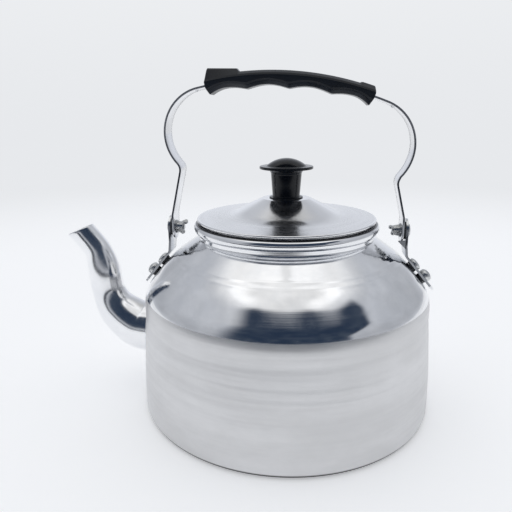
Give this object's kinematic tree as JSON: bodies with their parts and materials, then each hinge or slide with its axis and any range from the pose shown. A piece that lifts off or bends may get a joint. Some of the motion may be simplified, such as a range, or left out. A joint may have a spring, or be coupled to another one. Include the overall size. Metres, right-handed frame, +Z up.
{
  "type": "stovetop kettle",
  "caption": "Spun aluminium stovetop kettle with a gooseneck spout, a loose lid with a mushroom knob and a swinging bail handle with a finger-grooved grip.",
  "frame": {"origin": "centre of the flat base, on the body's axis", "axes": "+Z up along the body's axis, -X towards the spout, the handle's pivot line along X"},
  "size_m": [0.2657, 0.208, 0.2324],
  "materials": {
    "shell": "polished shoulder, satin wall",
    "spout": "polished",
    "lid": "polished, fine spin marks",
    "trim": "satin",
    "strap": "bright strip",
    "hardware": "zinc-plated",
    "rivets": "dull",
    "seals": "matt",
    "black_plastic": "moulded, slight sheen"
  },
  "bodies": {
    "kettle": {"body_shell": "shell", "spout": "spout", "spout_collar": "trim", "spout_lock_ring": "trim", "bracket_left": "strap", "bracket_right": "strap", "rivet_left_upper": "rivets", "seal_left_upper": "seals", "burr_left_upper": "hardware", "rivet_left_lower": "rivets", "seal_left_lower": "seals", "burr_left_lower": "hardware", "spacer_left": "seals", "rivet_right_upper": "rivets", "seal_right_upper": "seals", "burr_right_upper": "hardware", "rivet_right_lower": "rivets", "seal_right_lower": "seals", "burr_right_lower": "hardware", "spacer_right": "seals", "pivot_bolt_left": "hardware", "pivot_bolt_right": "hardware"},
    "handle": {"handle_strap": "strap", "handle_grip": "black_plastic"},
    "lid": {"lid_shell": "lid", "lid_skirt": "lid", "lid_knob": "black_plastic", "knob_washer": "hardware", "knob_screw": "hardware"},
    "washer_left": {"pivot_washer_left": "hardware"},
    "washer_right": {"pivot_washer_right": "hardware"},
    "nut_left": {"wing_nut_left": "hardware"},
    "nut_right": {"wing_nut_right": "hardware"}
  },
  "joints": [
    {"name": "handle_swing", "type": "hinge", "parent": "kettle", "child": "handle", "pos_m": [0, 0, 0.1254], "axis": [1, 0, 0], "range_deg": [-100, 64]},
    {"name": "lid_lift", "type": "slide", "parent": "kettle", "child": "lid", "axis": [0, 0, 1], "range_m": [0, 0.035]},
    {"name": "nut_left_travel", "type": "slide", "parent": "kettle", "child": "washer_left", "axis": [1, 0, 0], "range_m": [0, 0.0014]},
    {"name": "nut_left_turn", "type": "hinge", "parent": "washer_left", "child": "nut_left", "pos_m": [-0.075, 0, 0.1254], "axis": [-1, 0, 0], "range_deg": [-720, 0]},
    {"name": "nut_right_travel", "type": "slide", "parent": "kettle", "child": "washer_right", "axis": [-1, 0, 0], "range_m": [0, 0.0014]},
    {"name": "nut_right_turn", "type": "hinge", "parent": "washer_right", "child": "nut_right", "pos_m": [0.075, 0, 0.1254], "axis": [1, 0, 0], "range_deg": [-720, 0]}
  ],
  "couplings": [
    {"joint": "nut_left_turn", "follows": "nut_left_travel", "rad_per_m": -8975.9},
    {"joint": "nut_right_turn", "follows": "nut_right_travel", "rad_per_m": -8975.9}
  ]
}
